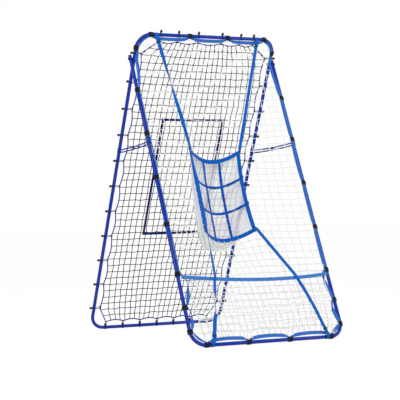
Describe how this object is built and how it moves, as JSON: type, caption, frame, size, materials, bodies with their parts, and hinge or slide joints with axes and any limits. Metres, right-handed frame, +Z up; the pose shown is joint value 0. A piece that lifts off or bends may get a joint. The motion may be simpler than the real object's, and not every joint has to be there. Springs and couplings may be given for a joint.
{
  "type": "strike zone net",
  "caption": "Folding A-frame of bent steel tube with a front net, a nine-hole catching pocket, a ball trough along the bottom and a rear net with a marked strike zone.",
  "frame": {"origin": "on the floor, midway between the legs and below the hinge axis", "axes": "+Z up, +Y from the pitcher's side to the rear net, +X to the right of a pitcher who faces the net"},
  "size_m": [1.0316, 1.5528, 1.8728],
  "materials": {
    "blue_powder_coat": "gloss royal blue powder coat on steel tube",
    "black_plastic": "moulded black plastic",
    "zinc": "zinc-plated steel",
    "border_tape": "light-blue woven tape",
    "trough_hem": "blue woven tape",
    "blue_webbing": "blue webbing",
    "pocket_webbing": "bright-blue webbing",
    "edge_rope": "dark-blue braided rope, black elastic cord and balls",
    "white_net": "off-white knotted cord",
    "black_net": "black knotted cord",
    "zone_tape": "navy tape",
    "bag_mesh": "light-grey fine mesh"
  },
  "bodies": {
    "back_frame": {"back_bottom_tube": "blue_powder_coat", "back_elbow_left": "blue_powder_coat", "back_elbow_right": "blue_powder_coat", "back_lower_leg_left": "blue_powder_coat", "back_lower_leg_right": "blue_powder_coat", "back_net": "black_net", "back_upper_leg_left": "blue_powder_coat", "back_upper_leg_right": "blue_powder_coat", "border_top": "border_tape", "corner_strap_top_left": "blue_webbing", "corner_strap_top_right": "blue_webbing", "front_net_top": "white_net", "hinge_bolt_left": "black_plastic", "hinge_bolt_right": "black_plastic", "hinge_nut_left": "zinc", "hinge_nut_right": "zinc", "hinge_washer_left": "black_plastic", "hinge_washer_right": "black_plastic", "net_rope_bottom": "edge_rope", "net_rope_left": "edge_rope", "net_rope_right": "edge_rope", "net_rope_top": "edge_rope", "spread_strap_left": "blue_webbing", "spread_strap_right": "blue_webbing", "strap_buckle_top_left": "black_plastic", "strap_buckle_top_right": "black_plastic", "strike_zone_tape": "zone_tape", "top_elbow_left": "blue_powder_coat", "top_elbow_right": "blue_powder_coat", "top_tube": "blue_powder_coat"},
    "front_frame": {"border_bottom": "border_tape", "border_left": "border_tape", "border_right": "border_tape", "catch_bag_high_left": "bag_mesh", "catch_bag_high_right": "bag_mesh", "catch_bag_low_left": "bag_mesh", "catch_bag_low_right": "bag_mesh", "corner_strap_bottom_left": "blue_webbing", "corner_strap_bottom_right": "blue_webbing", "front_bottom_tube": "blue_powder_coat", "front_elbow_left": "blue_powder_coat", "front_elbow_right": "blue_powder_coat", "front_lower_leg_left": "blue_powder_coat", "front_lower_leg_right": "blue_powder_coat", "front_net_high": "white_net", "front_net_left": "white_net", "front_net_low": "white_net", "front_net_right": "white_net", "front_upper_leg_left": "blue_powder_coat", "front_upper_leg_right": "blue_powder_coat", "leg_plug_left": "black_plastic", "leg_plug_right": "black_plastic", "pocket_grid": "pocket_webbing", "strap_buckle_bottom_left": "black_plastic", "strap_buckle_bottom_right": "black_plastic", "trough_hem": "trough_hem", "trough_net": "white_net"},
    "strap_sliders": {"slider_left": "black_plastic", "slider_right": "black_plastic"}
  },
  "joints": [
    {"name": "fold", "type": "hinge", "parent": "back_frame", "child": "front_frame", "pos_m": [0, 0, 1.6993], "axis": [1, 0, 0], "range_deg": [0, 42], "deforming": ["front_net_left", "front_net_right", "front_net_high", "front_net_low", "catch_bag_high_left", "catch_bag_high_right", "catch_bag_low_left", "catch_bag_low_right", "pocket_grid", "corner_strap_top_left", "corner_strap_top_right", "corner_strap_bottom_left", "corner_strap_bottom_right", "spread_strap_left", "spread_strap_right"]},
    {"name": "slider_swing", "type": "hinge", "parent": "back_frame", "child": "strap_sliders", "pos_m": [0, 0, 1.6993], "axis": [1, 0, 0], "range_deg": [0, 21]}
  ],
  "couplings": [
    {"joint": "slider_swing", "follows": "fold", "ratio": 0.5}
  ]
}
